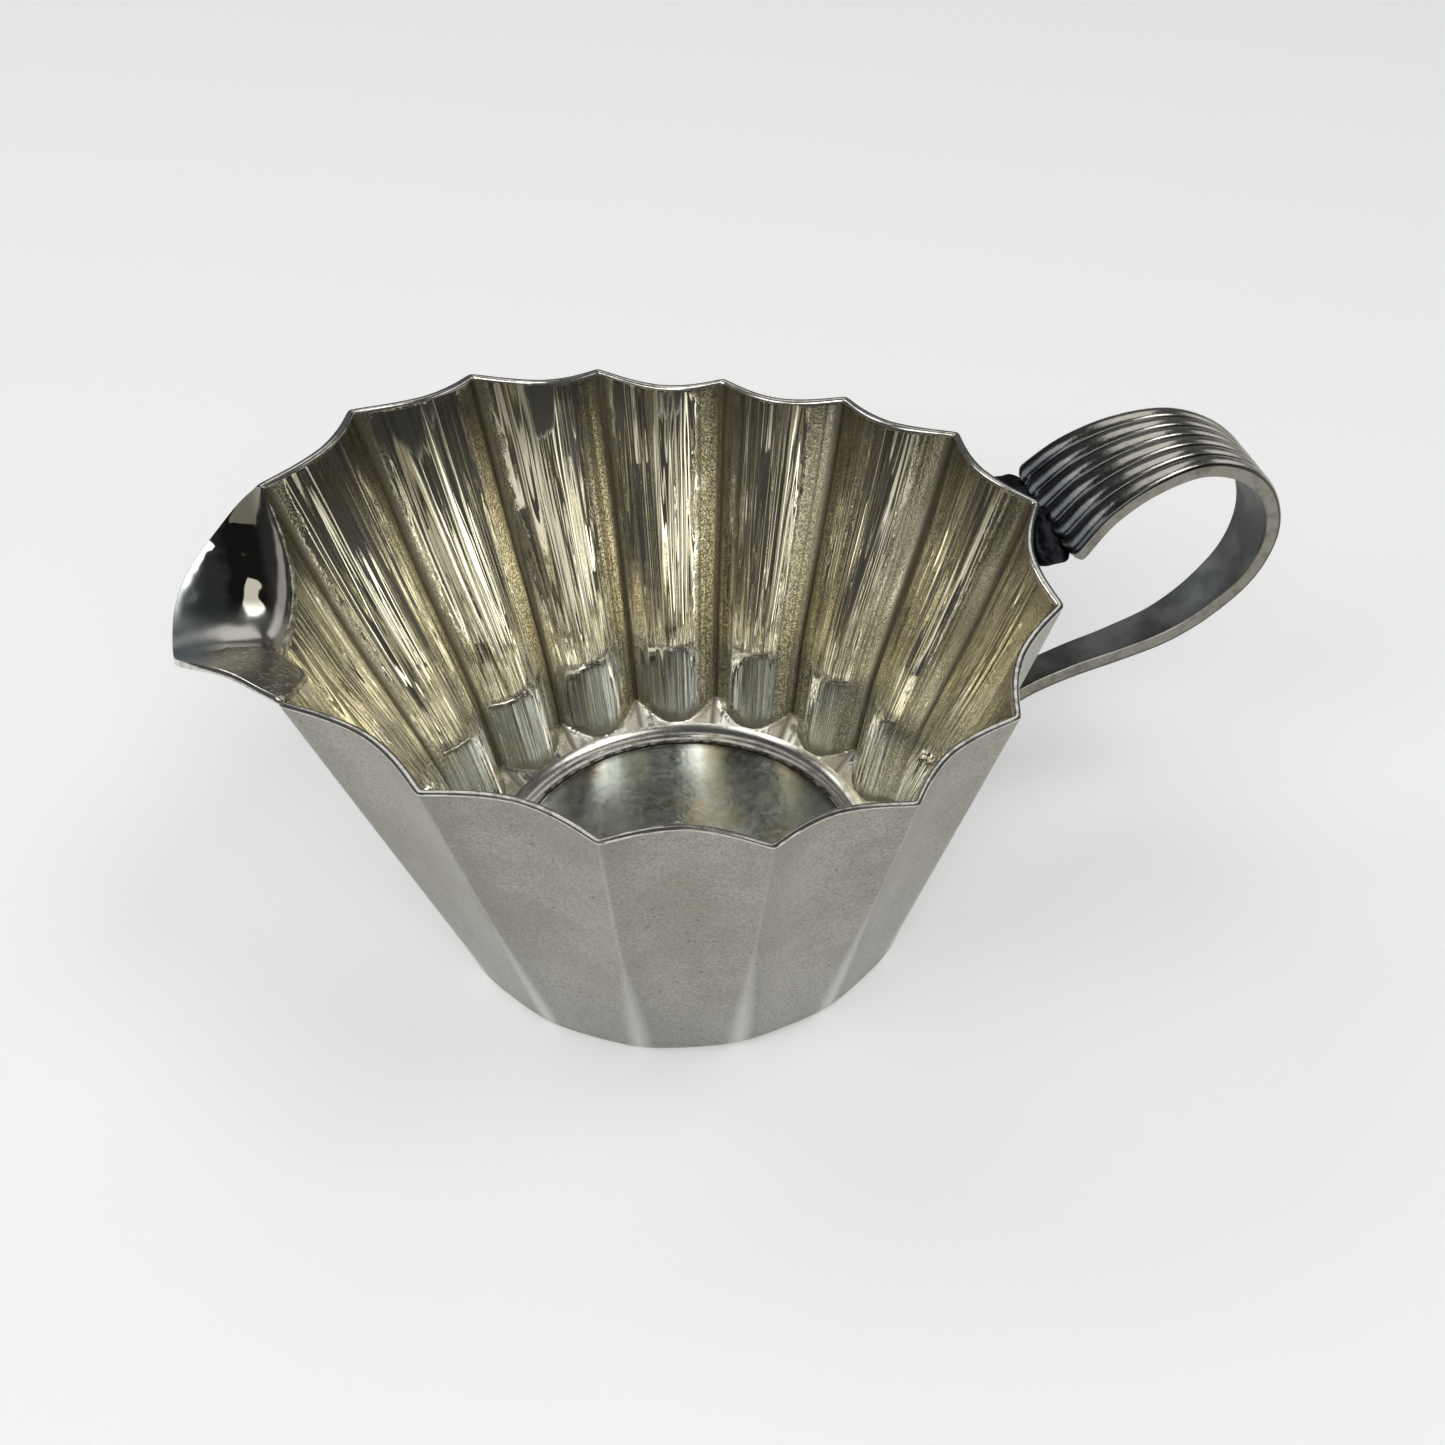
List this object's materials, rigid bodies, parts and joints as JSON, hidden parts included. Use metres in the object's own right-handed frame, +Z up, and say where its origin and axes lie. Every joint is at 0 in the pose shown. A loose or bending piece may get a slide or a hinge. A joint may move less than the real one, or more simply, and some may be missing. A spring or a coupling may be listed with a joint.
{
  "type": "cream jug",
  "caption": "Small fluted silver cream jug, a tapered bowl with a scalloped rim, a soldered pouring lip and a looped, reeded strap handle.",
  "frame": {"origin": "centre of the flat base, on the surface the jug rests on", "axes": "+X towards the handle, -X towards the pouring lip, +Z up; symmetric about the XZ plane"},
  "size_m": [0.1436, 0.0988, 0.0627],
  "materials": {
    "bowl_silver": "satin silver outside, streaked and lightly patinated polished silver inside",
    "lip_silver": "polished silver",
    "handle_silver": "worn polished silver, dark tarnish in the grooves and at the upper end",
    "solder": "dull, oxidised silver solder"
  },
  "bodies": {
    "root": {"fluted_wall": "bowl_silver", "floor_disc": "bowl_silver", "floor_solder_ring": "solder", "pouring_lip": "lip_silver", "lip_solder_seam": "solder", "handle_strap": "handle_silver", "handle_upper_solder": "solder", "handle_lower_solder": "solder"}
  },
  "joints": []
}
